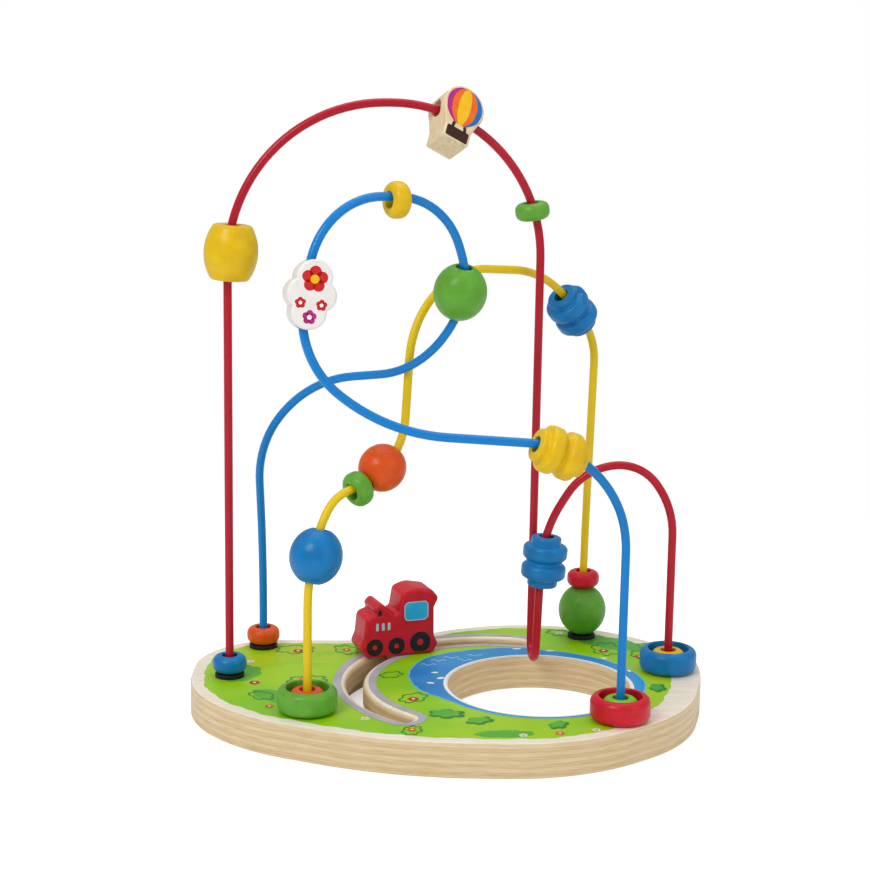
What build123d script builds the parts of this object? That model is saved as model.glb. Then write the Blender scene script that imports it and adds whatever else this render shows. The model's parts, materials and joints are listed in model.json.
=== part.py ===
from build123d import *
from math import radians, sqrt, tan
import os

os.makedirs("parts", exist_ok=True)

# A wire-and-bead maze for a small child: a plywood base, three bent wires fixed in it by their
# feet, beads threaded on the wires, and a toy train that runs in a curved slot.
# Millimetres, +Z up, origin at the centre of the base's underside, +Y away from the front.

# ---- gaps between pieces ----
running_gap = 0.3  # between pieces that move past each other
fit_gap = 0.1  # radial, between pieces that are pushed together

# ---- base board ----
board_half_width = 150.0
board_half_depth = 107.5
board_thickness = 20.0
board_arris = 1.2
hole_centre = (52.2, -9.5)
hole_radius = 52.5
hole_arris = 0.8

# ---- slot for the train, an arc seen from above ----
slot_centre = (26.2, -6.8)
slot_radius = 80.6
slot_gap = 9.6
slot_start = 77.6  # degrees from +X, where the peg stops at the back
slot_end = 231.0  # and at the front
slot_round_over = 3.0
groove_width = 19.0  # the wider groove below, for the washer
groove_depth = 8.0

# ---- wires ----
wire_diameter = 4.8
wire_end = 1.6  # height of the cut ends above the underside
arch_crown = 330.5  # centre line of the tall red arch, above the board
bend_share = 0.49  # how much of a run each of its two bends may take
straight_leg = 56.0  # how far a leaning wire first stands upright above the board

# where each wire's two feet stand on the base
red_left = (-127.5, -2.1)
red_right = (130.2, 21.2)
blue_left = (-112.8, 54.3)
blue_right = (94.3, -66.0)
yellow_front = (-78.5, -60.3)
yellow_back = (83.3, 84.5)
feet = [red_left, red_right, blue_left, blue_right, yellow_front, yellow_back]
foot_names = ["red_left", "red_right", "blue_left", "blue_right", "yellow_front", "yellow_back"]

# ---- foot fastenings ----
cap_diameter = 17.0
cap_height = 2.6
cap_edge = 0.9
spigot_diameter = 9.0
spigot_length = 9.0
recess_diameter = 16.0
recess_depth = 8.0
washer_diameter = 13.0
washer_thickness = 1.0
nut_across_flats = 8.0
nut_thickness = 4.0

# ---- beads ----
bead_bore = 9.0
block_bore = 10.0
bore_edge = 0.7
small_ring_diameter = 19.8
small_ring_height = 10.0
small_ring_edge = 4.0
wide_ring_diameter = 33.6
wide_ring_bore = 24.0
wide_ring_height = 13.7
wide_ring_edge = 4.0
wide_ring_lip = 0.7
ball_width = 29.4
ball_length = 32.0
ball_mouths = 29.8  # a ball's length between the rims of its bore
orange_ball_width = 26.6
orange_ball_length = 27.5
barrel_width = 30.4
barrel_length = 31.0
barrel_end_width = 21.0
barrel_rim = 2.2
bulge_bead_length = 30.0
bulge_bead_width = 26.2
bulge_bead_waist = 20.0
bulge_bead_cap = 17.6
bulge_bead_cap_height = 4.5
collar_edge = 1.3
collar_neck = 0.9
bulge_round = 2.8
waist_round = 1.4
bulge_shoulder = 0.8  # how far below the collar a bulge starts
bulge_flank = 0.28  # share of the half between collars where a bulge ends
twist_bead_length = 28.0
twist_bead_width = 26.0
twist_bead_waist = 19.0
twist_bead_cap = 18.4
twist_bead_cap_height = 3.8
twist_lobes = 7
flute_radius = 3.4
flute_depth = 2.5
flute_length = 30.8
twist_angle = 84.0

# ---- where the beads hang, measured along each wire from its left foot ----
barrel_station = 266.0
balloon_station = 441.0
arch_ring_station = 514.0
arch_ring_tip = 9.5  # degrees
bulge_bead_station = 851.0
loop_ball_station = 327.0
loop_ring_station = 407.5
blossom_station = 491.0
yellow_twist_station = 672.0
blue_ball_station = 107.0
slope_ring_station = 157.2
orange_ball_station = 177.0
blue_twist_station = 406.0

# ---- printed blocks ----
balloon_facing = (0.51, -0.74, 0.44)
blossom_facing = (0.2, -1, 0)
block_thickness = 19.0
block_edge = 1.4
balloon_edge = 1.0
balloon_diameter = 26.0
balloon_rise = 3.0  # centre of the balloon above the bore
balloon_neck_width = 22.4  # where the straight sides down to the basket start
balloon_neck_drop = 3.5  # below the bore
basket_width = 17.0
basket_height = 9.0
basket_drop = 20.5  # bottom of the basket below the bore
basket_corner = 1.6
blossom_reach = 18.2  # from the bore's centre to the top or bottom of the white block
blossom_end_petal = 9.3
blossom_side_petal = 8.4
blossom_side_reach = 13.0

# ---- train ----
train_thickness = 21.0
train_edge = 2.2
train_heading = 21.0  # degrees, the train's long axis from +X
train_slot_angle = 137.0  # where along the slot it stands
train_peg_at = 24.5  # distance of the peg from the train's nose
train_lift = 0.4  # between the train and the board
peg_diameter = 9.0
peg_shank = 5.0
peg_shank_depth = 9.0
slider_diameter = 17.0
slider_thickness = 2.4
slider_edge = 0.5
screw_diameter = 3.0
screw_head = 8.4
screw_head_height = 2.2
screw_head_edge = 0.9

board_top = board_thickness
wire_radius = wire_diameter / 2


# ---------------------------------------------------------------- helpers
def bend_radii(points, share=bend_share, closed=False):
    """The largest radius that the runs on both sides of each bend allow."""
    corners = [Vector(*point) for point in points]
    count = len(corners)
    inner = range(count) if closed else range(1, count - 1)
    radii = []
    for i in inner:
        back = corners[i - 1] - corners[i]
        ahead = corners[(i + 1) % count] - corners[i]
        turn = 180 - back.get_angle(ahead)
        shorter = min(back.length, ahead.length)
        radii.append(share * shorter / tan(radians(turn) / 2))
    return radii


def bent_wire(points, radii):
    """A round wire along straight runs joined by tangent arcs, and its centre line."""
    with BuildPart() as wire:
        with BuildLine() as route:
            FilletPolyline(*points, radius=radii)
        centre_line = route.wires()[0]
        with BuildSketch(Plane(origin=centre_line @ 0, z_dir=centre_line % 0)):
            Circle(wire_radius)
        sweep(path=centre_line)
    return wire.part, centre_line


def upright(start, end, along, height):
    """A point in the upright plane through two feet, given along the floor and above the board."""
    way = Vector(end[0] - start[0], end[1] - start[1], 0).normalized()
    foot = Vector(start[0], start[1], board_top + height)
    return foot + way * along


def hung_on(line, distance, length, bore, hang=(0, 0, -1), tip=0.0, gap=running_gap):
    """The plane of a bead threaded on a wire: Z along its bore, X away from the wire.

    The bead hangs towards `hang` until its bore is one gap from the wire, with
    room for the wire's bow inside the bore, and for a tip of some degrees about its Y.
    """
    point = line.position_at(distance, position_mode=PositionMode.LENGTH)
    along = line.tangent_at(distance, position_mode=PositionMode.LENGTH)
    before = line.position_at(distance - length / 2, position_mode=PositionMode.LENGTH)
    after = line.position_at(distance + length / 2, position_mode=PositionMode.LENGTH)
    bow = (before + after) * 0.5 - point
    down = Vector(*hang)
    down = (down - along * down.dot(along)).normalized()
    play = (bore - wire_diameter) / 2 - gap - length / 2 * tan(radians(abs(tip)))
    lean = down.dot(bow)
    offset = min(play, lean + sqrt(play**2 - bow.length**2 + lean**2))
    seat = Plane(origin=point + down * offset, x_dir=down, z_dir=along)
    return seat.rotated((0, tip, 0))


def upright_on(foot, height):
    """The plane of a piece that stands centred round a wire's leg."""
    return Plane(origin=(foot[0], foot[1], board_top + height))


def half_section(seat):
    """The plane that holds a turned piece's half section: X outwards, Y along its axis."""
    return Plane(origin=seat.origin, x_dir=seat.x_dir, z_dir=-seat.y_dir)


def clear_bore(reach, bore):
    """Takes from the half section everything inside the bore."""
    with Locations(((bore / 2 - reach) / 2, 0)):
        Rectangle(bore / 2 + reach, 2 * reach, mode=Mode.SUBTRACT)


# ---------------------------------------------------------------- bead shapes
def ring(seat, diameter, bore, height, edge, inner_edge):
    with BuildPart() as bead:
        with BuildSketch(half_section(seat)) as half:
            with Locations(((diameter + bore) / 4, 0)):
                Rectangle((diameter - bore) / 2, height)
            fillet(half.vertices().group_by(Axis.X)[-1], edge)
            fillet(half.vertices().group_by(Axis.X)[0], inner_edge)
        revolve(axis=Axis(seat.origin, seat.z_dir))
    return bead.part


def small_ring(seat):
    return ring(seat, small_ring_diameter, bead_bore, small_ring_height, small_ring_edge, bore_edge)


def wide_ring(seat):
    return ring(
        seat, wide_ring_diameter, wide_ring_bore, wide_ring_height, wide_ring_edge, wide_ring_lip
    )


def ball(seat, width, length):
    with BuildPart() as bead:
        with BuildSketch(half_section(seat)) as half:
            Ellipse(width / 2, length / 2)
            clear_bore(length, bead_bore)
            fillet(half.vertices().group_by(Axis.X)[0], bore_edge)
        revolve(axis=Axis(seat.origin, seat.z_dir))
    return bead.part


def barrel(seat):
    with BuildPart() as bead:
        with BuildSketch(half_section(seat)) as half:
            with BuildLine():
                ThreePointArc(
                    (barrel_end_width / 2, -barrel_length / 2),
                    (barrel_width / 2, 0),
                    (barrel_end_width / 2, barrel_length / 2),
                )
                Polyline(
                    (barrel_end_width / 2, barrel_length / 2),
                    (bead_bore / 2, barrel_length / 2),
                    (bead_bore / 2, -barrel_length / 2),
                    (barrel_end_width / 2, -barrel_length / 2),
                )
            make_face()
            fillet(half.vertices().group_by(Axis.X)[0], bore_edge)
            ends = half.vertices().group_by(Axis.Y)
            fillet([ends[0].sort_by(Axis.X)[-1], ends[-1].sort_by(Axis.X)[-1]], barrel_rim)
        revolve(axis=Axis(seat.origin, seat.z_dir))
    return bead.part


def bulged_bead(seat, length, width, waist, cap, cap_height):
    """A turned bead with a collar at each end, two bulges and a waist."""
    flank = (length / 2 - cap_height) * bulge_flank
    upper = [
        (cap / 2, length / 2),
        (cap / 2, length / 2 - cap_height),
        (width / 2, length / 2 - cap_height - bulge_shoulder),
        (width / 2, flank),
    ]
    lower = [(x, -y) for x, y in reversed(upper)]
    turns = [collar_edge, collar_neck, bulge_round, bulge_round]
    with BuildPart() as bead:
        with BuildSketch(half_section(seat)):
            with BuildLine():
                FilletPolyline(
                    (bead_bore / 2, length / 2),
                    *upper,
                    (waist / 2, 0),
                    *lower,
                    (bead_bore / 2, -length / 2),
                    radius=turns + [waist_round] + turns[::-1],
                )
                Line((bead_bore / 2, -length / 2), (bead_bore / 2, length / 2))
            make_face()
        revolve(axis=Axis(seat.origin, seat.z_dir))
    return bead.part


def bulge_bead(seat):
    return bulged_bead(
        seat,
        bulge_bead_length,
        bulge_bead_width,
        bulge_bead_waist,
        bulge_bead_cap,
        bulge_bead_cap_height,
    )


def twist_bead(seat):
    """A bulged bead with rounded lobes between flutes that wind round it."""
    smooth = bulged_bead(
        seat,
        twist_bead_length,
        twist_bead_width,
        twist_bead_waist,
        twist_bead_cap,
        twist_bead_cap_height,
    )
    with BuildPart() as bead:
        add(smooth)
        for flute in range(twist_lobes):
            start = seat.rotated((0, 0, flute * 360 / twist_lobes))
            with BuildPart(mode=Mode.PRIVATE) as groove:
                with BuildLine(start.offset(-flute_length / 2)) as winding:
                    Helix(
                        pitch=twist_bead_length * 360 / twist_angle,
                        height=flute_length,
                        radius=twist_bead_width / 2 + flute_radius - flute_depth,
                    )
                path = winding.wires()[0]
                with BuildSketch(Plane(origin=path @ 0, z_dir=path % 0)):
                    Circle(flute_radius)
                sweep(path=path, is_frenet=True)
            add(groove.part, mode=Mode.SUBTRACT)
    return bead.part


def block_seat(seat, facing):
    """The plane of a printed block's face: X along the bore, Z out of the print."""
    out = Vector(*facing)
    out = (out - seat.z_dir * out.dot(seat.z_dir)).normalized()
    return Plane(origin=seat.origin, x_dir=seat.z_dir, z_dir=out)


def leaning_seat(line, distance, length, facing):
    """The plane of a printed face whose block leans on the wire, centred round its bow."""
    point = line.position_at(distance, position_mode=PositionMode.LENGTH)
    along = line.tangent_at(distance, position_mode=PositionMode.LENGTH)
    before = line.position_at(distance - length / 2, position_mode=PositionMode.LENGTH)
    after = line.position_at(distance + length / 2, position_mode=PositionMode.LENGTH)
    out = Vector(*facing).normalized()
    bore_way = (along - out * along.dot(out)).normalized()
    middle = (point + (before + after) * 0.5) * 0.5
    return Plane(origin=middle, x_dir=bore_way, z_dir=out)


def balloon_block(face):
    radius = balloon_diameter / 2
    side = [
        (balloon_neck_width / 2, -balloon_neck_drop),
        (basket_width / 2, basket_height - basket_drop),
        (basket_width / 2, -basket_drop),
    ]
    with BuildPart() as block:
        with BuildSketch(face) as outline:
            with Locations((0, balloon_rise)):
                Circle(radius)
            with BuildLine():
                Polyline(*side, *[(-x, y) for x, y in reversed(side)], close=True)
            make_face()
            fillet(outline.vertices(), basket_corner)
        extrude(amount=block_thickness / 2, both=True)
        rims = block.faces().filter_by(Plane(origin=face.origin, z_dir=face.z_dir)).edges()
        fillet(rims, balloon_edge)
        with BuildSketch(Plane(origin=face.origin, z_dir=face.x_dir)):
            Circle(block_bore / 2)
        extrude(amount=2 * radius, both=True, mode=Mode.SUBTRACT)
    return block.part


def blossom_block(face):
    with BuildPart() as block:
        with BuildSketch(face):
            with Locations(
                (blossom_reach - blossom_end_petal, 0), (blossom_end_petal - blossom_reach, 0)
            ):
                Circle(blossom_end_petal)
            with Locations(
                (0, blossom_side_reach - blossom_side_petal),
                (0, blossom_side_petal - blossom_side_reach),
            ):
                Circle(blossom_side_petal)
            Circle(blossom_side_petal)
        extrude(amount=block_thickness / 2, both=True)
        rims = block.faces().filter_by(Plane(origin=face.origin, z_dir=face.z_dir)).edges()
        fillet(rims, block_edge)
        with BuildSketch(Plane(origin=face.origin, z_dir=face.x_dir)):
            Circle(block_bore / 2)
        extrude(amount=2 * blossom_reach, both=True, mode=Mode.SUBTRACT)
    return block.part


# ---------------------------------------------------------------- base board
board_outline = [
    (-board_half_width, -27.6),
    (-115.7, -70.8),
    (-31.5, -board_half_depth),
    (71.2, -board_half_depth),
    (135.2, -53.4),
    (board_half_width, 10.7),
    (board_half_width, 55.6),
    (90.8, board_half_depth),
    (19.2, board_half_depth),
    (-35.0, 71.1),
    (-122.9, 67.9),
    (-board_half_width, 37.1),
]
slot_sweep = slot_end - slot_start

with BuildPart() as base_board:
    with BuildSketch():
        with BuildLine():
            FilletPolyline(
                *board_outline, radius=bend_radii(board_outline, closed=True), close=True
            )
        make_face()
    extrude(amount=board_thickness)
    fillet(base_board.faces().filter_by(Axis.Z).edges(), board_arris)
    with BuildSketch(Plane.XY.offset(board_top)) as opening:
        with Locations(hole_centre):
            Circle(hole_radius)
    extrude(amount=-board_thickness, mode=Mode.SUBTRACT)
    hole_rims = base_board.edges(Select.LAST).filter_by(GeomType.CIRCLE)
    fillet(hole_rims, hole_arris)
    with BuildSketch(Plane.XY.offset(board_top)):
        with BuildLine(mode=Mode.PRIVATE) as slot_line:
            CenterArc(slot_centre, slot_radius, slot_start, slot_sweep)
        SlotArc(slot_line.edges()[0], slot_gap)
    extrude(amount=-board_thickness, mode=Mode.SUBTRACT)
    slot_rim = base_board.edges(Select.LAST).filter_by_position(
        Axis.Z, board_top - fit_gap, board_top + fit_gap
    )
    fillet(slot_rim, slot_round_over)
    with BuildSketch():
        SlotArc(slot_line.edges()[0], groove_width)
    extrude(amount=groove_depth, mode=Mode.SUBTRACT)
    with Locations([(x, y, 0) for x, y in feet]):
        with Locations(Plane.XY.rotated((180, 0, 0))):
            CounterBoreHole(spigot_diameter / 2 + fit_gap, recess_diameter / 2, recess_depth)
base_board.part.label = "base_board"

# ---------------------------------------------------------------- wires
tall_leg = (49.2, 37.5)
dip_leg = (51.4, 21.1)
dip_height = 4.5  # the wire's lowest point over the hole
dip_radius = 8.1
dip_way = Vector(red_right[0] - dip_leg[0], red_right[1] - dip_leg[1], 0).length

red_points = [
    (*red_left, wire_end),
    (*red_left, board_top + arch_crown),
    (*tall_leg, board_top + arch_crown),
    (*tall_leg, board_top + dip_height),
    (*dip_leg, board_top + dip_height),
    upright(dip_leg, red_right, 2.6, 84.0),
    upright(dip_leg, red_right, 25.3, 121.0),
    upright(dip_leg, red_right, 58.3, 126.5),
    upright(dip_leg, red_right, dip_way - 0.3, 99.2),
    (*red_right, wire_end),
]
red_radii = bend_radii(red_points)
red_radii[2:4] = [dip_radius, dip_radius]

blue_points = [
    (*blue_left, wire_end),
    (blue_left[0], blue_left[1], board_top + straight_leg),
    (-114.0, 33.0, 153.0),
    (-80.4, 13.5, 193.4),
    (-19.0, -22.7, 205.4),
    (9.8, -29.1, 249.8),
    (-7.1, -47.6, 304.1),
    (-70.2, -85.8, 306.9),
    (-83.3, -99.8, 223.7),
    (-33.7, -97.8, 185.4),
    (57.2, -86.1, 178.3),
    (82.6, -72.5, 155.1),
    (94.8, -62.3, 128.8),
    (blue_right[0], blue_right[1], board_top + straight_leg),
    (*blue_right, wire_end),
]

yellow_span = Vector(
    yellow_back[0] - yellow_front[0], yellow_back[1] - yellow_front[1], 0
).length
yellow_points = [
    (*yellow_front, wire_end),
    upright(yellow_front, yellow_back, 0.0, 74.7),
    upright(yellow_front, yellow_back, 9.7, 106.5),
    upright(yellow_front, yellow_back, 18.6, 118.5),
    upright(yellow_front, yellow_back, 67.6, 132.4),
    upright(yellow_front, yellow_back, 73.2, 212.1),
    upright(yellow_front, yellow_back, 107.7, 239.0),
    upright(yellow_front, yellow_back, 178.0, 232.3),
    upright(yellow_front, yellow_back, 215.9, 193.5),
    upright(yellow_front, yellow_back, 221.0, 180.0),
    upright(yellow_front, yellow_back, yellow_span, straight_leg),
    (*yellow_back, wire_end),
]

red_wire, red_line = bent_wire(red_points, red_radii)
blue_wire, blue_line = bent_wire(blue_points, bend_radii(blue_points))
yellow_wire, yellow_line = bent_wire(yellow_points, bend_radii(yellow_points))
wires = {"red_wire": red_wire, "blue_wire": blue_wire, "yellow_wire": yellow_wire}

# ---------------------------------------------------------------- foot fastenings
caps = {}
for name, foot in zip(foot_names, feet):
    with BuildPart() as cap:
        with BuildSketch(Plane(origin=(*foot, board_top))):
            Circle(cap_diameter / 2)
        extrude(amount=cap_height)
        fillet(cap.edges().sort_by(Axis.Z)[-1], cap_edge)
        with BuildSketch(Plane(origin=(*foot, board_top))):
            Circle(spigot_diameter / 2)
        extrude(amount=-spigot_length)
        with BuildSketch(Plane(origin=(*foot, board_top + cap_height))):
            Circle(wire_radius + fit_gap)
        extrude(amount=-(cap_height + spigot_length), mode=Mode.SUBTRACT)
    caps[name + "_cap"] = cap.part

with BuildPart() as foot_washers:
    with BuildSketch(Plane.XY.offset(recess_depth - washer_thickness)):
        with Locations(feet):
            Circle(washer_diameter / 2)
            Circle(wire_radius + fit_gap, mode=Mode.SUBTRACT)
    extrude(amount=washer_thickness)
foot_washers.part.label = "foot_washers"

with BuildPart() as foot_nuts:
    with BuildSketch(Plane.XY.offset(recess_depth - washer_thickness - nut_thickness)):
        with Locations(feet):
            RegularPolygon(nut_across_flats / 2, 6, major_radius=False)
            Circle(wire_radius + fit_gap, mode=Mode.SUBTRACT)
    extrude(amount=nut_thickness)
foot_nuts.part.label = "foot_nuts"

# ---------------------------------------------------------------- beads on the red wire
ring_seat_height = cap_height + running_gap + small_ring_height / 2
wide_seat_height = running_gap + wide_ring_height / 2
ball_seat_height = cap_height + running_gap + ball_mouths / 2
stack_seat_height = ball_seat_height + ball_mouths / 2 + running_gap + small_ring_height / 2

beads = {}
beads["blue_foot_ring"] = small_ring(upright_on(red_left, ring_seat_height))
beads["yellow_barrel"] = barrel(
    hung_on(red_line, barrel_station, barrel_length, bead_bore, hang=(1, 0, 0))
)
beads["balloon_block"] = balloon_block(
    leaning_seat(red_line, balloon_station, balloon_diameter, balloon_facing)
)
beads["green_arch_ring"] = small_ring(
    hung_on(
        red_line,
        arch_ring_station,
        small_ring_height,
        bead_bore,
        hang=(-1, 0, 0),
        tip=arch_ring_tip,
    )
)
beads["blue_bulge_bead"] = bulge_bead(
    hung_on(red_line, bulge_bead_station, bulge_bead_length, bead_bore, hang=(1, 0, 0))
)
beads["blue_wide_ring"] = wide_ring(upright_on(red_right, wide_seat_height))
beads["yellow_inner_ring"] = small_ring(upright_on(red_right, ring_seat_height))

# ---------------------------------------------------------------- beads on the blue wire
beads["orange_foot_ring"] = small_ring(upright_on(blue_left, ring_seat_height))
beads["green_loop_ball"] = ball(
    hung_on(blue_line, loop_ball_station, ball_length, bead_bore, hang=(-1, 0, 0)),
    ball_width,
    ball_length,
)
beads["yellow_loop_ring"] = small_ring(
    hung_on(blue_line, loop_ring_station, small_ring_height, bead_bore)
)
beads["white_blossom_block"] = blossom_block(
    block_seat(
        hung_on(blue_line, blossom_station, 2 * blossom_reach, block_bore, hang=(1, 0, 0)),
        blossom_facing,
    )
)
beads["yellow_twist_bead"] = twist_bead(
    hung_on(blue_line, yellow_twist_station, twist_bead_length, bead_bore)
)
beads["red_wide_ring"] = wide_ring(upright_on(blue_right, wide_seat_height))
beads["green_inner_ring"] = small_ring(upright_on(blue_right, ring_seat_height))

# ---------------------------------------------------------------- beads on the yellow wire
beads["green_wide_ring"] = wide_ring(upright_on(yellow_front, wide_seat_height))
beads["orange_inner_ring"] = small_ring(upright_on(yellow_front, ring_seat_height))
beads["blue_ball"] = ball(
    hung_on(yellow_line, blue_ball_station, ball_length, bead_bore, hang=(1, 1, 0)),
    ball_width,
    ball_length,
)
beads["green_slope_ring"] = small_ring(
    hung_on(yellow_line, slope_ring_station, small_ring_height, bead_bore)
)
beads["orange_ball"] = ball(
    hung_on(
        yellow_line, orange_ball_station, orange_ball_length, bead_bore, gap=2 * running_gap
    ),
    orange_ball_width,
    orange_ball_length,
)
beads["blue_twist_bead"] = twist_bead(
    hung_on(yellow_line, blue_twist_station, twist_bead_length, bead_bore)
)
beads["green_foot_ball"] = ball(
    upright_on(yellow_back, ball_seat_height), ball_width, ball_length
)
beads["red_stack_ring"] = small_ring(upright_on(yellow_back, stack_seat_height))

# ---------------------------------------------------------------- train
peg_place = Vector(slot_centre[0], slot_centre[1], 0) + Vector(slot_radius, 0, 0).rotate(
    Axis.Z, train_slot_angle
)
train_floor = board_top + train_lift
train_way = Vector(1, 0, 0).rotate(Axis.Z, train_heading)
train_side = Plane(
    origin=peg_place + Vector(0, 0, train_floor),
    x_dir=train_way,
    z_dir=Vector(0, -1, 0).rotate(Axis.Z, train_heading),
)
# side view from the nose: corners, and the radius of each
train_outline = [
    (4.0, 0.0, 3.0),
    (46.4, 0.0, 3.0),
    (49.2, 5.5, 2.6),
    (46.6, 11.0, 4.0),
    (46.4, 28.5, 3.0),
    (49.4, 34.2, 3.0),
    (45.0, 39.5, 4.5),
    (33.0, 41.8, 12.0),
    (25.6, 39.0, 4.0),
    (23.6, 27.2, 2.0),
    (21.4, 26.2, 1.0),
    (11.4, 34.6, 2.6),
    (7.4, 30.4, 2.6),
    (9.0, 27.0, 1.2),
    (3.0, 25.2, 4.5),
    (1.8, 12.5, 3.0),
    (-0.6, 6.8, 3.0),
]
train_corners = [(x - train_peg_at, y) for x, y, radius in train_outline]
train_radii = [radius for x, y, radius in train_outline]

with BuildPart() as train_body:
    with BuildSketch(train_side):
        with BuildLine():
            FilletPolyline(*train_corners, radius=train_radii, close=True)
        make_face()
    extrude(amount=train_thickness / 2, both=True)
    fillet(train_body.faces().filter_by(train_side).edges(), train_edge)
    with BuildSketch(Plane(origin=train_side.origin)):
        Circle(peg_shank / 2 + fit_gap)
    extrude(amount=peg_shank_depth + fit_gap, mode=Mode.SUBTRACT)
train_body.part.label = "train_body"

slider_top = groove_depth - running_gap
peg_bottom = slider_top + running_gap
with BuildPart() as train_peg:
    with BuildSketch(Plane(origin=(peg_place.X, peg_place.Y, peg_bottom))):
        Circle(peg_diameter / 2)
    extrude(amount=train_floor - peg_bottom)
    with BuildSketch(Plane(origin=(peg_place.X, peg_place.Y, train_floor))):
        Circle(peg_shank / 2)
    extrude(amount=peg_shank_depth)
    with BuildSketch(Plane(origin=(peg_place.X, peg_place.Y, peg_bottom))):
        Circle(screw_diameter / 2 + fit_gap)
    extrude(amount=train_floor - peg_bottom, mode=Mode.SUBTRACT)
train_peg.part.label = "train_peg"

with BuildPart() as train_slider:
    with BuildSketch(Plane(origin=(peg_place.X, peg_place.Y, slider_top - slider_thickness))):
        Circle(slider_diameter / 2)
        Circle(screw_diameter / 2 + running_gap, mode=Mode.SUBTRACT)
    extrude(amount=slider_thickness)
    fillet(train_slider.edges().group_by(SortBy.LENGTH)[-1], slider_edge)
train_slider.part.label = "train_slider"

head_top = slider_top - slider_thickness - running_gap
with BuildPart() as train_screw:
    with BuildSketch(Plane(origin=(peg_place.X, peg_place.Y, head_top))):
        Circle(screw_head / 2)
    extrude(amount=-screw_head_height)
    fillet(train_screw.edges().sort_by(Axis.Z)[0], screw_head_edge)
    with BuildSketch(Plane(origin=(peg_place.X, peg_place.Y, head_top))):
        Circle(screw_diameter / 2)
    extrude(amount=train_floor - head_top - fit_gap)
train_screw.part.label = "train_screw"

# ---------------------------------------------------------------- write the pieces
for group in (wires, caps, beads):
    for name, piece in group.items():
        piece.label = name
        export_step(piece, f"parts/{name}.step")

export_step(base_board.part, "parts/base_board.step")
export_step(foot_washers.part, "parts/foot_washers.step")
export_step(foot_nuts.part, "parts/foot_nuts.step")
export_step(train_body.part, "parts/train_body.step")
export_step(train_peg.part, "parts/train_peg.step")
export_step(train_slider.part, "parts/train_slider.step")
export_step(train_screw.part, "parts/train_screw.step")
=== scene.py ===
import json
import math
import bpy
import bmesh
from mathutils import Matrix, Vector
from mathutils.bvhtree import BVHTree


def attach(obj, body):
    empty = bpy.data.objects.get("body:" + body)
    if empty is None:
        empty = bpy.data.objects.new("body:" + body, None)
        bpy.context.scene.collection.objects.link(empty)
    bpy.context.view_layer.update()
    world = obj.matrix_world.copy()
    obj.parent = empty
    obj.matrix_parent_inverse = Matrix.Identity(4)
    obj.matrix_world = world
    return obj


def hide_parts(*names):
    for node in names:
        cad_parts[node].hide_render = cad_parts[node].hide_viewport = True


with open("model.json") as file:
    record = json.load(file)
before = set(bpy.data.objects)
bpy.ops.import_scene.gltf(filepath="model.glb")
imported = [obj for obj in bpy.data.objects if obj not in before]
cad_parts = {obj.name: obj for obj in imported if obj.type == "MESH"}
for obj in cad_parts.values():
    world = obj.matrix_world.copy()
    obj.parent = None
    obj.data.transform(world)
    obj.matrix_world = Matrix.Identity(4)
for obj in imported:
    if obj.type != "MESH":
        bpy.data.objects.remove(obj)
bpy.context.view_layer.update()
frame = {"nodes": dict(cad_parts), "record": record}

mm = 0.001
nodes = frame["nodes"]
bodyOf = {n: body for body, members in frame["record"]["behaviour"]["bodies"].items() for n in members}
slotOf = {s["node"]: s["material_slot"] for s in frame["record"]["subparts"]}


def linear(hexColour):
    parts = [int(hexColour[i:i + 2], 16) / 255 for i in (1, 3, 5)]
    parts = [p / 12.92 if p <= 0.04045 else ((p + 0.055) / 1.055) ** 2.4 for p in parts]
    return (*parts, 1.0)


def addNode(tree, kind, settings=None, inputs=None, stops=(), result=0, into=None):
    # stops are a ramp's places and colours, and one result may go straight into a socket
    node = tree.nodes.new(kind)
    for key, value in (settings or {}).items():
        setattr(node, key, value)
    for key, value in (inputs or {}).items():
        if isinstance(value, bpy.types.NodeSocket):
            tree.links.new(value, node.inputs[key])
        else:
            node.inputs[key].default_value = value
    if stops:
        elements = node.color_ramp.elements
        while len(elements) < len(stops):
            elements.new(0.5)
        for element, (at, hexColour) in zip(elements, stops):
            element.position = at
            element.color = linear(hexColour)
    if into is not None:
        tree.links.new(node.outputs[result], into)
    return node


def newMaterial(name, surface):
    # surface holds the shader's plain values by the names of its sockets
    made = bpy.data.materials.new(name)
    made.use_nodes = True
    tree = made.node_tree
    sockets = tree.nodes["Principled BSDF"].inputs
    for socket, value in surface.items():
        sockets[socket].default_value = value
    place = addNode(tree, "ShaderNodeTexCoord").outputs["Object"]
    return made, tree, sockets, place


def scaleFor(size):
    # a texture's scale for a pattern of that size in mm
    return 1 / (size * mm)


# opaque lacquer sprayed on turned beech: satin gloss, and a trace of the grain under it, which is
# drawn coarser than the real one so that it shows
lacquer = {
    "grain": 1.6, "grainStretch": 7.0, "grainFrom": 0.3, "grainTo": 0.7, "smooth": 0.31, "dull": 0.42,
    "tone": 9.0, "toneFrom": 0.35, "toneTo": 0.75, "bump": 0.12, "bumpHeight": 0.05,
    "surface": {"Specular IOR Level": 0.24, "Coat Weight": 0.14, "Coat Roughness": 0.1},
}


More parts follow.
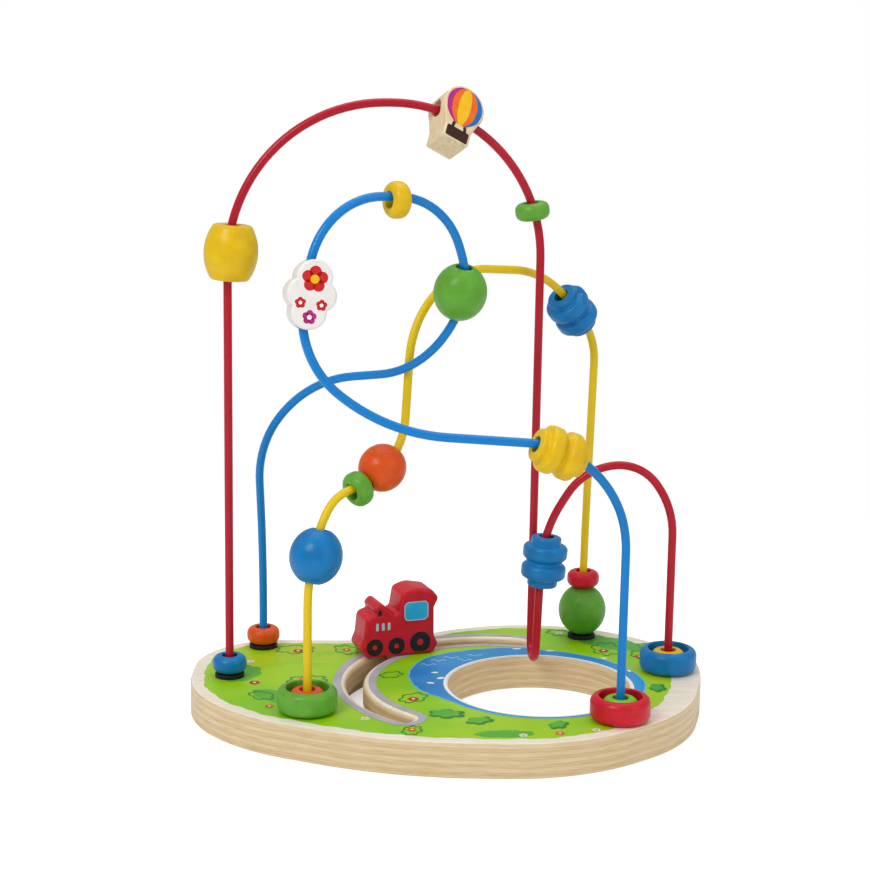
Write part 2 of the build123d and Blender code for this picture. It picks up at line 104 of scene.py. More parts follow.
def lacqueredWood(name, hexColour, deepHex):
    made, tree, sockets, place = newMaterial(name, lacquer["surface"])
    stretched = addNode(tree, "ShaderNodeMapping", None, {
        "Vector": place, "Scale": (1, 1, 1 / lacquer["grainStretch"]),
    })
    tone = addNode(tree, "ShaderNodeTexNoise", None, {
        "Vector": place, "Scale": scaleFor(lacquer["tone"]), "Detail": 3.0,
    })
    grain = addNode(tree, "ShaderNodeTexNoise", None, {
        "Vector": stretched.outputs[0], "Scale": scaleFor(lacquer["grain"]), "Detail": 2.0,
    })
    share = addNode(tree, "ShaderNodeMapRange", None, {
        "Value": tone.outputs[0], "From Min": lacquer["toneFrom"], "From Max": lacquer["toneTo"],
    })
    addNode(tree, "ShaderNodeMix", {"data_type": "RGBA"}, {
        0: share.outputs[0], 6: linear(hexColour), 7: linear(deepHex),
    }, result=2, into=sockets["Base Color"])
    addNode(tree, "ShaderNodeMapRange", None, {
        "Value": grain.outputs[0], "From Min": lacquer["grainFrom"], "From Max": lacquer["grainTo"],
        "To Min": lacquer["smooth"], "To Max": lacquer["dull"],
    }, into=sockets["Roughness"])
    addNode(tree, "ShaderNodeBump", None, {
        "Height": grain.outputs[0], "Strength": lacquer["bump"], "Distance": lacquer["bumpHeight"] * mm,
    }, into=sockets["Normal"])
    return made


# enamel on bent steel wire: smooth and glossy, with a slight orange peel
enamel = {
    "peel": 1.8, "tone": 24.0, "bump": 0.15, "bumpHeight": 0.03,
    "surface": {"Roughness": 0.32, "Specular IOR Level": 0.24, "Coat Weight": 0.14, "Coat Roughness": 0.08},
}


def enamelledWire(name, hexColour, deepHex):
    made, tree, sockets, place = newMaterial(name, enamel["surface"])
    peel = addNode(tree, "ShaderNodeTexNoise", None, {
        "Vector": place, "Scale": scaleFor(enamel["peel"]), "Detail": 2.0,
    })
    tone = addNode(tree, "ShaderNodeTexNoise", None, {
        "Vector": place, "Scale": scaleFor(enamel["tone"]), "Detail": 2.0,
    })
    addNode(tree, "ShaderNodeMix", {"data_type": "RGBA"}, {
        0: tone.outputs[0], 6: linear(hexColour), 7: linear(deepHex),
    }, result=2, into=sockets["Base Color"])
    addNode(tree, "ShaderNodeBump", None, {
        "Height": peel.outputs[0], "Strength": enamel["bump"], "Distance": enamel["bumpHeight"] * mm,
    }, into=sockets["Normal"])
    return made


# clear-lacquered birch plywood: a pale face, stacked veneers on the edge and end-grain streaks
plywood = {
    "thickness": 20.0, "plies": 9, "wander": 70.0, "wanderHeight": 0.9,
    "streak": 14.0, "streakFlat": 24.0, "streakShare": 0.6, "grain": 2.4, "grainStretch": 10.0,
    "faceFrom": 0.55, "faceTo": 0.95, "bump": 0.2, "bumpHeight": 0.12,
    "veneers": [
        (0.0, "#EAD8B0"), (0.44, "#E4CFA2"), (0.5, "#BE9A64"),
        (0.56, "#D0B280"), (0.94, "#D6BA8A"), (1.0, "#C2A06C"),
    ],
    "endGrain": [(0.3, "#C09C64"), (0.52, "#E0C89C"), (0.75, "#EEDEBA")],
    "face": [(0.3, "#EEE0C6"), (0.55, "#F8EEDC"), (0.8, "#FCF6EA")],
    "surface": {"Roughness": 0.42, "Coat Weight": 0.15, "Coat Roughness": 0.25},
}


def birchPlywood(name):
    made, tree, sockets, place = newMaterial(name, plywood["surface"])
    # two veneers, one light and one dark, to each turn of the stripes, a little wavy
    wander = addNode(tree, "ShaderNodeTexNoise", None, {
        "Vector": place, "Scale": scaleFor(plywood["wander"]), "Detail": 2.0,
    })
    apart = addNode(tree, "ShaderNodeSeparateXYZ", None, {0: place})
    height = addNode(tree, "ShaderNodeMath", {"operation": "MULTIPLY_ADD"}, {
        0: wander.outputs[0], 1: plywood["wanderHeight"] * mm, 2: apart.outputs["Z"],
    })
    ply = addNode(tree, "ShaderNodeMath", {"operation": "MULTIPLY"}, {
        0: height.outputs[0], 1: plywood["plies"] / 2 / (plywood["thickness"] * mm),
    })
    phase = addNode(tree, "ShaderNodeMath", {"operation": "FRACT"}, {0: ply.outputs[0]})
    stripe = addNode(tree, "ShaderNodeValToRGB", None, {0: phase.outputs[0]}, plywood["veneers"])
    layered = addNode(tree, "ShaderNodeMapping", None, {
        "Vector": place, "Scale": (1, 1, plywood["streakFlat"]),
    })
    streaks = addNode(tree, "ShaderNodeTexNoise", None, {
        "Vector": layered.outputs[0], "Scale": scaleFor(plywood["streak"]), "Detail": 6.0, "Roughness": 0.7,
    })
    streakShade = addNode(tree, "ShaderNodeValToRGB", None, {0: streaks.outputs[0]}, plywood["endGrain"])
    side = addNode(tree, "ShaderNodeMix", {"data_type": "RGBA"}, {
        0: plywood["streakShare"], 6: stripe.outputs[0], 7: streakShade.outputs[0],
    })
    stretched = addNode(tree, "ShaderNodeMapping", None, {
        "Vector": place, "Scale": (1 / plywood["grainStretch"], 1, 1),
    })
    faceGrain = addNode(tree, "ShaderNodeTexNoise", None, {
        "Vector": stretched.outputs[0], "Scale": scaleFor(plywood["grain"]), "Detail": 5.0, "Roughness": 0.6,
    })
    face = addNode(tree, "ShaderNodeValToRGB", None, {0: faceGrain.outputs[0]}, plywood["face"])
    # the face's colour where the surface is level, and the edge's elsewhere
    normal = addNode(tree, "ShaderNodeNewGeometry")
    facing = addNode(tree, "ShaderNodeSeparateXYZ", None, {0: normal.outputs["Normal"]})
    level = addNode(tree, "ShaderNodeMath", {"operation": "ABSOLUTE"}, {0: facing.outputs["Z"]})
    isFace = addNode(tree, "ShaderNodeMapRange", None, {
        "Value": level.outputs[0], "From Min": plywood["faceFrom"], "From Max": plywood["faceTo"],
    })
    addNode(tree, "ShaderNodeMix", {"data_type": "RGBA"}, {
        0: isFace.outputs[0], 6: side.outputs[2], 7: face.outputs[0],
    }, result=2, into=sockets["Base Color"])
    addNode(tree, "ShaderNodeBump", None, {
        "Height": streaks.outputs[0], "Strength": plywood["bump"], "Distance": plywood["bumpHeight"] * mm,
    }, into=sockets["Normal"])
    return made


# solid pale maple under clear lacquer: long soft grain
maple = {
    "grain": 2.4, "along": 0.12, "turn": (0.5, 0.3, 0.2), "bump": 0.2, "bumpHeight": 0.08,
    "colours": [(0.25, "#D9BC8E"), (0.5, "#E6CFA6"), (0.8, "#EEDDBC")],
    "surface": {"Roughness": 0.45, "Coat Weight": 0.2},
}


def clearMaple(name):
    made, tree, sockets, place = newMaterial(name, maple["surface"])
    turned = addNode(tree, "ShaderNodeMapping", None, {
        "Vector": place, "Rotation": maple["turn"], "Scale": (1, 1, maple["along"]),
    })
    grain = addNode(tree, "ShaderNodeTexNoise", None, {
        "Vector": turned.outputs[0], "Scale": scaleFor(maple["grain"]), "Detail": 4.0,
    })
    addNode(tree, "ShaderNodeValToRGB", None, {
        0: grain.outputs[0],
    }, maple["colours"], into=sockets["Base Color"])
    addNode(tree, "ShaderNodeBump", None, {
        "Height": grain.outputs[0], "Strength": maple["bump"], "Distance": maple["bumpHeight"] * mm,
    }, into=sockets["Normal"])
    return made


# moulded nylon: dark and matt, with a fine spark-eroded texture
nylon = {
    "spark": 0.35, "deep": "#0B0A0B", "light": "#1C1A1C", "bump": 0.25, "bumpHeight": 0.04,
    "surface": {"Roughness": 0.5, "Specular IOR Level": 0.3},
}


def mouldedNylon(name):
    made, tree, sockets, place = newMaterial(name, nylon["surface"])
    spark = addNode(tree, "ShaderNodeTexNoise", None, {
        "Vector": place, "Scale": scaleFor(nylon["spark"]), "Detail": 3.0,
    })
    addNode(tree, "ShaderNodeMix", {"data_type": "RGBA"}, {
        0: spark.outputs[0], 6: linear(nylon["deep"]), 7: linear(nylon["light"]),
    }, result=2, into=sockets["Base Color"])
    addNode(tree, "ShaderNodeBump", None, {
        "Height": spark.outputs[0], "Strength": nylon["bump"], "Distance": nylon["bumpHeight"] * mm,
    }, into=sockets["Normal"])
    return made


# zinc-plated steel: grey with a soft shine and turning marks
zinc = {
    "marks": 0.6, "deep": "#A9A9A4", "light": "#C9C9C4", "smooth": 0.28, "dull": 0.45,
    "bump": 0.2, "bumpHeight": 0.03, "surface": {"Metallic": 1.0},
}


def zincSteel(name):
    made, tree, sockets, place = newMaterial(name, zinc["surface"])
    marks = addNode(tree, "ShaderNodeTexNoise", None, {
        "Vector": place, "Scale": scaleFor(zinc["marks"]), "Detail": 4.0,
    })
    addNode(tree, "ShaderNodeMix", {"data_type": "RGBA"}, {
        0: marks.outputs[0], 6: linear(zinc["deep"]), 7: linear(zinc["light"]),
    }, result=2, into=sockets["Base Color"])
    addNode(tree, "ShaderNodeMapRange", None, {
        "Value": marks.outputs[0], "To Min": zinc["smooth"], "To Max": zinc["dull"],
    }, into=sockets["Roughness"])
    addNode(tree, "ShaderNodeBump", None, {
        "Height": marks.outputs[0], "Strength": zinc["bump"], "Distance": zinc["bumpHeight"] * mm,
    }, into=sockets["Normal"])
    return made


# screen-printed ink on lacquer: flat satin colour, a little uneven
inkFilm = {
    "grit": 0.8, "smooth": 0.36, "dull": 0.5,
    "surface": {"Specular IOR Level": 0.3, "Coat Weight": 0.08, "Coat Roughness": 0.2},
}


def printedInk(name, hexColour, otherHex, patch, contrast=0.12):
    # patch is the size in mm of the uneven places, and contrast how soft their edges are
    made, tree, sockets, place = newMaterial(name, inkFilm["surface"])
    patches = addNode(tree, "ShaderNodeTexNoise", None, {
        "Vector": place, "Scale": scaleFor(patch), "Detail": 2.0,
    })
    share = addNode(tree, "ShaderNodeMapRange", None, {
        "Value": patches.outputs[0], "From Min": 0.5 - contrast, "From Max": 0.5 + contrast,
    })
    addNode(tree, "ShaderNodeMix", {"data_type": "RGBA"}, {
        0: share.outputs[0], 6: linear(hexColour), 7: linear(otherHex),
    }, result=2, into=sockets["Base Color"])
    grit = addNode(tree, "ShaderNodeTexNoise", None, {
        "Vector": place, "Scale": scaleFor(inkFilm["grit"]), "Detail": 2.0,
    })
    addNode(tree, "ShaderNodeMapRange", None, {
        "Value": grit.outputs[0], "To Min": inkFilm["smooth"], "To Max": inkFilm["dull"],
    }, into=sockets["Roughness"])
    return made


finish = {
    "birch_ply": birchPlywood("clear lacquered birch plywood"),
    "red_enamel": enamelledWire("red enamelled wire", "#C0102A", "#AC0C22"),
    "blue_enamel": enamelledWire("blue enamelled wire", "#0086D8", "#007AC8"),
    "yellow_enamel": enamelledWire("yellow enamelled wire", "#F0CE08", "#E2BE04"),
    "black_nylon": mouldedNylon("moulded black nylon"),
    "zinc_steel": zincSteel("zinc plated steel"),
    "blue_lacquer": lacqueredWood("blue lacquered beech", "#007CC0", "#006CAA"),
    "yellow_lacquer": lacqueredWood("yellow lacquered beech", "#EAC204", "#DCB000"),
    "green_lacquer": lacqueredWood("green lacquered beech", "#66AC34", "#589C2C"),
    "lime_lacquer": lacqueredWood("lime lacquered beech", "#86C81E", "#78BC1C"),
    "red_lacquer": lacqueredWood("red lacquered beech", "#D4142A", "#C01022"),
    "orange_lacquer": lacqueredWood("orange lacquered beech", "#E65812", "#D84C0C"),
    "white_lacquer": lacqueredWood("white lacquered beech", "#F4F1EE", "#ECE8E4"),
    "maple": clearMaple("clear lacquered maple"),
}
ink = {
    "meadow": printedInk("meadow green ink", "#8ACC0C", "#A4D20A", 38, 0.10),
    "shade": printedInk("leaf green ink", "#4DAE32", "#5FB82C", 22),
    "patch": printedInk("yellow green ink", "#B9D016", "#A8CC14", 26),
    "pond": printedInk("pond blue ink", "#1880CA", "#2C98DA", 34, 0.14),
    "bank": printedInk("pale blue ink", "#5CBBE6", "#6CC4EA", 10),
    "path": printedInk("path grey ink", "#B9B6BE", "#ADABB4", 12),
    "white": printedInk("white ink", "#F5F6F4", "#F5F6F4", 14),
    "bush": printedInk("dark green ink", "#2C7F35", "#33883A", 6),
    "red": printedInk("red ink", "#D9241F", "#CE1C1C", 6),
    "orange": printedInk("orange ink", "#F2741C", "#EE661A", 6),
    "yellow": printedInk("yellow ink", "#F9C60E", "#F5BB0C", 6),
    "magenta": printedInk("magenta ink", "#C22586", "#B81E7C", 6),
    "blue": printedInk("blue ink", "#1E74BE", "#1A6AB2", 6),
    "brown": printedInk("dark brown ink", "#3A1710", "#321410", 4),
    "cream": printedInk("cream ink", "#F7EBCF", "#F3E4C4", 6),
    "black": printedInk("black ink", "#131014", "#1B181C", 4),
    "cyan": printedInk("window blue ink", "#1BA9DE", "#25B2E4", 6),
    "pale": printedInk("pale blue line ink", "#A9C8D8", "#B4D0DE", 6),
}
print("finishes:", len(finish) + len(ink))

sharpAngle = math.radians(32)  # edges that turn further than this stay crisp
weld = 0.001 * mm  # corners closer than this are one corner


def smoothCopy(node):
    # the same solid with merged corners, smooth faces and crisp edges
    mesh = nodes[node].data.copy()
    made = bpy.data.objects.new(node + "_finished", mesh)
    bpy.context.scene.collection.objects.link(made)
    work = bmesh.new()
    work.from_mesh(mesh)
    bmesh.ops.remove_doubles(work, verts=work.verts, dist=weld)
    for face in work.faces:
        face.smooth = True
    for edge in work.edges:
        edge.smooth = edge.is_manifold and edge.calc_face_angle(0.0) < sharpAngle
    work.to_mesh(mesh)
    work.free()
    mesh.materials.clear()
    mesh.materials.append(finish[slotOf[node]])
    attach(made, bodyOf[node])
    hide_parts(node)
    return made


finished = {node: smoothCopy(node) for node in nodes}
print("smooth pieces:", len(finished))


def keepMesh(name, mesh, colour, host):
    # host says where a print lies: its plane, the body that it rides on and that body's slot, which is not
    # used
    place, body, slotName = host
    mesh.transform(place)
    work = bmesh.new()
    work.from_mesh(mesh)
    bmesh.ops.remove_doubles(work, verts=work.verts, dist=weld)
    bmesh.ops.recalc_face_normals(work, faces=work.faces)
    work.to_mesh(mesh)
    work.free()
    mesh.name = name
    mesh.materials.clear()
    mesh.materials.append(ink[colour])
    made = bpy.data.objects.new(name, mesh)
    bpy.context.scene.collection.objects.link(made)
    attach(made, body)
    return made


# the printed top of the board, in mm; angles in degrees
board = {
    "top": 20.0,
    "corners": [
        (-150.0, -27.6), (-115.7, -70.8), (-31.5, -107.5), (71.2, -107.5), (135.2, -53.4), (150.0, 10.7),
        (150.0, 55.6), (90.8, 107.5), (19.2, 107.5), (-35.0, 71.1), (-122.9, 67.9), (-150.0, 37.1),
    ],
    "bend": 0.49, "bendSteps": 24, "step": 1.2,
    "hole": (52.2, -9.5), "holeEdge": 53.4, "whiteRing": 55.2, "holeCount": 96, "bank": 0.9,
    "slot": ((26.2, -6.8), 80.6, 77.6, 231.0), "slotBare": 7.9, "slotPath": 12.4,
    "layer": 0.03,
}
# bare wood outside the print: its width, the waves of the print's edge, and where it widens
rim = {
    "width": 7.6, "wave": 0.5, "longWave": 5.3, "shortWave": 2.1, "shortShare": 0.6,
    "wider": 9.0, "widerFrom": 70.0, "widerOver": 75.0,
}
# which of the thin layers each part of the print lies in, counted from the wood
layers = {"meadow": 1, "grass": 2, "pond": 4, "pondEdge": 5, "path": 6, "drawing": 7, "detail": 8}
onBoard = (Matrix.Translation((0, 0, board["top"] * mm)), "base", "birch_ply")


def printed(name, loops, layer, colour, host=onBoard):
    # a flat shape from loops of points in mm, the first one outside and the rest holes
    curve = bpy.data.curves.new(name, "CURVE")
    curve.dimensions = "2D"
    curve.fill_mode = "BOTH"
    curve.extrude = board["layer"] / 2 * mm
    for loop in loops:
        spline = curve.splines.new("POLY")
        spline.points.add(len(loop) - 1)
        spline.use_cyclic_u = True
        for point, (x, y) in zip(spline.points, loop):
            point.co = (x * mm, y * mm, 0, 1)
    temporary = bpy.data.objects.new(name + "_curve", curve)
    mesh = bpy.data.meshes.new_from_object(temporary)
    bpy.data.objects.remove(temporary)
    mesh.transform(Matrix.Translation((0, 0, (layer - 0.5) * board["layer"] * mm)))
    return keepMesh(name, mesh, colour, host)


def eased(u):
    return u * u * (3 - 2 * u)


def turnedPoint(centre, x, y, turn):
    return (
        centre[0] + x * math.cos(turn) - y * math.sin(turn),
        centre[1] + x * math.sin(turn) + y * math.cos(turn),
    )


def circleLoop(centre, radius, count=64, squash=1.0, turn=0.0):
    angles = [2 * math.pi * i / count for i in range(count)]
    return [turnedPoint(centre, radius * math.cos(a), radius * squash * math.sin(a), turn) for a in angles]


def scallopLoop(centre, radius, lobes, squash=0.7, turn=0.0, depth=0.16, count=120):
    # an oval with a wavy edge of round lobes
    points = []
    for i in range(count):
        angle = 2 * math.pi * i / count
        r = radius * (1 - depth + depth * 2 * abs(math.sin(angle * lobes / 2)))
        points.append(turnedPoint(centre, r * math.cos(angle), r * squash * math.sin(angle), turn))
    return points


def arcPoints(centre, radius, start, end, count):
    # both ends are among the points
    angles = [math.radians(start + (end - start) * i / count) for i in range(count + 1)]
    return [(centre[0] + radius * math.cos(a), centre[1] + radius * math.sin(a)) for a in angles]


def slotLoop(halfWidth, centre, radius, start, end, steps=72, endSteps=16):
    # a curved slot with round ends
    startMiddle, endMiddle = arcPoints(centre, radius, start, end, 1)
    outer = arcPoints(centre, radius + halfWidth, start, end, steps)
    roundEnd = arcPoints(endMiddle, halfWidth, end, end + 180, endSteps)[1:-1]
    inner = arcPoints(centre, radius - halfWidth, end, start, steps)
    roundStart = arcPoints(startMiddle, halfWidth, start + 180, start + 360, endSteps)[1:-1]
    return outer + roundEnd + inner + roundStart


def boxLoop(centre, size, radius, steps=6):
    # a rectangle with round corners
    points = []
    for k, (sx, sy) in enumerate(((1, 1), (-1, 1), (-1, -1), (1, -1))):
        corner = (centre[0] + sx * (size[0] / 2 - radius), centre[1] + sy * (size[1] / 2 - radius))
        points += arcPoints(corner, radius, 90 * k, 90 * (k + 1), steps)
    return points


def roundedLoop(corners, share, steps):
    # each corner becomes a bend that takes that share of its shorter run
    points = []
    for i, corner in enumerate(corners):
        here = Vector(corner)
        back, ahead = Vector(corners[i - 1]) - here, Vector(corners[(i + 1) % len(corners)]) - here
        reach = share * min(back.length, ahead.length)
        start, end = here + back.normalized() * reach, here + ahead.normalized() * reach
        for k in range(steps):
            u = k / (steps - 1)
            points.append(tuple(start * (1 - u) ** 2 + here * 2 * u * (1 - u) + end * u * u))
    return points


def spreadLoop(loop, step):
    # points at even steps round a loop
    points = []
    for i, point in enumerate(loop):
        here, there = Vector(point), Vector(loop[(i + 1) % len(loop)])
        count = max(1, round((there - here).length / step))
        points += [tuple(here.lerp(there, k / count)) for k in range(count)]
    return points


def insetLoop(loop, depth, wave=0.0, wider=0.0):
    # moves each point inwards, with a wavy edge, and further in at the board's right end
    points, travelled = [], 0.0
    for i, point in enumerate(loop):
        before, after = Vector(loop[i - 1]), Vector(loop[(i + 1) % len(loop)])
        along = (after - before).normalized()
        travelled += (Vector(point) - before).length
        short = rim["shortShare"] * math.sin(travelled / rim["shortWave"])
        ripple = wave * (math.sin(travelled / rim["longWave"]) + short)
        right = min(1.0, max(0.0, (point[0] - rim["widerFrom"]) / rim["widerOver"]))
        inward = Vector((-along.y, along.x))
        points.append(tuple(Vector(point) + inward * (depth + ripple + wider * eased(right))))
    return points


def polarLoop(centre, table, steps=120):
    # radius against angle in degrees, eased between the given ones
    first, points = table[0][0], []
    for i in range(steps):
        a = first + 360 * i / steps
        k = max(j for j in range(len(table)) if table[j][0] <= a)
        low, high = table[k], (table[k + 1] if k + 1 < len(table) else (first + 360, table[0][1]))
        r = low[1] + (high[1] - low[1]) * eased((a - low[0]) / (high[0] - low[0]))
        points.append((centre[0] + r * math.cos(math.radians(a)), centre[1] + r * math.sin(math.radians(a))))
    return points


# the pond's outer edge: the angle round the hole and the radius there
pondEdge = [
    (-180, 73.9), (-171, 70.8), (-163, 66.7), (-157, 62.8), (-145, 59.6), (-120, 58.0), (-90, 57.6),
    (-60, 57.6), (-35, 58.6), (-12, 61.2), (10, 63.0), (35, 63.4), (60, 63.6), (84, 65.0), (93, 68.9),
    (111, 71.7), (123, 74.5), (135, 78.0), (145, 80.6), (152, 79.9), (162, 78.7), (170, 77.0),
]
outline = spreadLoop(roundedLoop(board["corners"], board["bend"], board["bendSteps"]), board["step"])
holeLoop = circleLoop(board["hole"], board["holeEdge"], board["holeCount"])
ringLoop = circleLoop(board["hole"], board["whiteRing"], board["holeCount"])
bareLoop = slotLoop(board["slotBare"], *board["slot"])
pathLoop = slotLoop(board["slotPath"], *board["slot"])
pondLoop = polarLoop(board["hole"], pondEdge)
meadowLoop = insetLoop(outline, rim["width"], rim["wave"], rim["wider"])
printed("print_meadow", [meadowLoop, holeLoop, bareLoop], layers["meadow"], "meadow")
printed("print_path", [pathLoop, bareLoop], layers["path"], "path")
printed("print_pond", [pondLoop, holeLoop], layers["pond"], "pond")
printed("print_pond_edge", [pondLoop, insetLoop(pondLoop, board["bank"])], layers["pondEdge"], "bank")
printed("print_hole_ring", [ringLoop, holeLoop], layers["path"], "white")

# bushes: centre, size in mm and lobes, drawn as an outline, or solid with a darker edge
bushes = {
    "line": 1.1,
    "drawn": [
        ((-93, 49), 11, 6), ((-82, -8), 11, 7), ((-33.5, 4), 7, 6), ((-20, -36), 9, 6), ((-20, -89), 7, 7),
        ((97, 60), 12, 7), ((117, 49), 8, 6), ((-62, 50), 9, 6), ((-106, -36), 8, 5), ((70, 91), 8, 6),
    ],
    "solid": [
        ((-1, -62), 9.5, 6), ((17, -72), 7.5, 5), ((60, -77), 6.5, 5), ((121, -12), 6.5, 5),
        ((122, 66), 6.5, 5),
    ],
    "drawnTurn": 0.3, "solidTurn": 0.5, "lightShare": 0.78, "lightShift": 0.8,
}
for i, (centre, size, lobes) in enumerate(bushes["drawn"]):
    turn = bushes["drawnTurn"] * i
    outer = scallopLoop(centre, size, lobes, turn=turn)
    inner = scallopLoop(centre, size - bushes["line"], lobes, turn=turn)
    printed(f"print_bush_{i + 1}", [outer, inner], layers["drawing"], "bush")
for i, (centre, size, lobes) in enumerate(bushes["solid"]):
    turn, shift = bushes["solidTurn"] * i, bushes["lightShift"]
    dark = scallopLoop(centre, size, lobes, turn=turn)
    light = scallopLoop((centre[0] - shift, centre[1] + shift), size * bushes["lightShare"], lobes, turn=turn)
    printed(f"print_shrub_{i + 1}", [dark], layers["drawing"], "bush")
    printed(f"print_shrub_light_{i + 1}", [light], layers["detail"], "shade")

# softer patches of light and dark grass: ink, centre, size in mm, squash and turn
grass = {
    "lobes": 7, "depth": 0.06,
    "patches": [
        ("patch", (-104, 32), 26, 0.42, 0.5), ("patch", (-84, 52), 17, 0.5, -0.1),
        ("shade", (-121, 2), 15, 0.7, 1.2), ("shade", (-96, -38), 18, 0.45, -0.6),
        ("patch", (121, 2), 8, 0.6, 1.3), ("patch", (113, -28), 7, 0.5, 0.8),
        ("shade", (100, 72), 22, 0.5, -0.5), ("patch", (-73, 32), 11, 0.5, 0.9),
        ("shade", (30, -92), 16, 0.35, 0.1), ("patch", (84, -80), 9, 0.45, 0.5),
    ],
}
for i, (colour, centre, size, squash, turn) in enumerate(grass["patches"]):
    loop = scallopLoop(centre, size, grass["lobes"], squash, turn, grass["depth"])
    printed(f"print_grass_{i + 1}", [loop], layers["grass"] + i % 2, colour)

# pebbles at the pond: centre, size in mm, squash and turn
pebbles = [
    ((-8, 9), 2.1, 0.6, 0.2), ((-4.5, -0.9), 2.4, 0.7, 0.5), ((-10.4, -9.8), 2.3, 0.6, -0.2),
    ((62, 54), 2.6, 0.4, 0.0), ((42, 57), 2.8, 0.35, 0.1), ((94, 41), 2.2, 0.5, -0.6),
    ((107, 18), 2.0, 0.5, -1.1),
]
pebbleCount = 20
for i, (centre, size, squash, turn) in enumerate(pebbles):
    loop = circleLoop(centre, size, pebbleCount, squash, turn)
    printed(f"print_pebble_{i + 1}", [loop], layers["drawing"], "white")

# ripples on the pond: short wavy lines
ripple = {"long": 9.0, "rise": 1.3, "halfWaves": 3, "line": 0.55, "steps": 20}
ripplePlaces = [(-6, 32), (2, 38), (10, 34), (16, 43), (-12, 24)]
for i, (x, y) in enumerate(ripplePlaces):
    upper = []
    for k in range(ripple["steps"] + 1):
        u = k / ripple["steps"]
        rise = ripple["rise"] * math.sin(u * ripple["halfWaves"] * math.pi)
        upper.append((x + ripple["long"] * (u - 0.5), y + rise))
    lower = [(px, py - ripple["line"]) for px, py in reversed(upper)]
    printed(f"print_ripple_{i + 1}", [upper + lower], layers["drawing"], "white")
print("board print done")

# one small flower in mm, which Geometry Nodes draw wherever a point is given
flower = {"petals": 5, "petal": 1.5, "spread": 1.8, "heart": 1.1, "seed": 4, "vertices": 16}


def flowerTree(name, colour, heart):
    # the ring of petals, or the heart on top of them
    tree = bpy.data.node_groups.new(name, "GeometryNodeTree")
    face = tree.interface
    face.new_socket("Geometry", in_out="INPUT", socket_type="NodeSocketGeometry")
    for label in ("Disc radius", "Petal spread", "Thickness"):
        face.new_socket(label, in_out="INPUT", socket_type="NodeSocketFloat")
    for label in ("Petals", "Seed"):
        face.new_socket(label, in_out="INPUT", socket_type="NodeSocketInt")
    face.new_socket("Geometry", in_out="OUTPUT", socket_type="NodeSocketGeometry")
    start = addNode(tree, "NodeGroupInput")
    disc = addNode(tree, "GeometryNodeMeshCircle", {"fill_type": "NGON"}, {
        "Vertices": flower["vertices"], "Radius": start.outputs["Disc radius"],
    }).outputs[0]
    if not heart:
        around = addNode(tree, "GeometryNodeMeshCircle", {"fill_type": "NONE"}, {
            "Vertices": start.outputs["Petals"], "Radius": start.outputs["Petal spread"],
        })
        petals = addNode(tree, "GeometryNodeInstanceOnPoints", None, {
            "Points": around.outputs[0], "Instance": disc,
        })
        disc = addNode(tree, "GeometryNodeRealizeInstances", None, {0: petals.outputs[0]}).outputs[0]
    thick = addNode(tree, "GeometryNodeExtrudeMesh", {"mode": "FACES"}, {
        "Mesh": disc, "Offset Scale": start.outputs["Thickness"], "Individual": True,
    })
    turn = addNode(tree, "FunctionNodeRandomValue", {"data_type": "FLOAT"}, {
        2: 0.0, 3: 2 * math.pi, "Seed": start.outputs["Seed"],
    })
    angle = addNode(tree, "ShaderNodeCombineXYZ", None, {"Z": turn.outputs[1]})
    placed = addNode(tree, "GeometryNodeInstanceOnPoints", None, {
        "Points": start.outputs[0], "Instance": thick.outputs[0], "Rotation": angle.outputs[0],
    })
    real = addNode(tree, "GeometryNodeRealizeInstances", None, {0: placed.outputs[0]})
    inked = addNode(tree, "GeometryNodeSetMaterial", None, {
        "Geometry": real.outputs[0], "Material": ink[colour],
    })
    addNode(tree, "NodeGroupOutput", None, {0: inked.outputs[0]})
    return tree


def flowers(name, places, petalColour, heartColour, layer, scale, host=onBoard):
    # the hearts reach one layer higher than the petals
    parts = (("petals", petalColour, flower["petal"], 1), ("hearts", heartColour, flower["heart"], 2))
    for part, colour, radius, thickness in parts:
        mesh = bpy.data.meshes.new(name + "_points")
        mesh.from_pydata([(x * mm, y * mm, (layer - 1) * board["layer"] * mm) for x, y in places], [], [])
        holder = bpy.data.objects.new(name + "_points", mesh)
        bpy.context.scene.collection.objects.link(holder)
        modifier = holder.modifiers.new("flowers", "NODES")
        modifier.node_group = flowerTree(f"{name} {part}", colour, part == "hearts")
        values = {
            "Disc radius": radius * scale * mm, "Petal spread": flower["spread"] * scale * mm,
            "Thickness": thickness * board["layer"] * mm, "Petals": flower["petals"], "Seed": flower["seed"],
        }
        for item in modifier.node_group.interface.items_tree:
            if item.in_out == "INPUT" and item.name in values:
                modifier[item.identifier] = values[item.name]
        drawn = bpy.data.meshes.new_from_object(holder.evaluated_get(bpy.context.evaluated_depsgraph_get()))
        bpy.data.objects.remove(holder)
        keepMesh(f"{name}_{part}", drawn, colour, host)


# the meadow's flowers: petals, hearts, scale and places
meadowFlowers = [
    ("red", "cream", 1.0, [(-20, -38), (-91, 46), (95, 56), (-112, -14), (116, 46)]),
    ("orange", "cream", 0.85, [(-20, -88), (-62, 50), (-84, -6), (60, -90), (122, 18), (-100, -54)]),
    ("white", "yellow", 0.75, [(-80, -18), (-118, 24), (40, -94), (70, 90), (80, -84), (-46, -72)]),
]
for petalColour, heartColour, scale, places in meadowFlowers:
    flowers(f"print_{petalColour}_flowers", places, petalColour, heartColour, layers["detail"], scale)
print("flowers done")

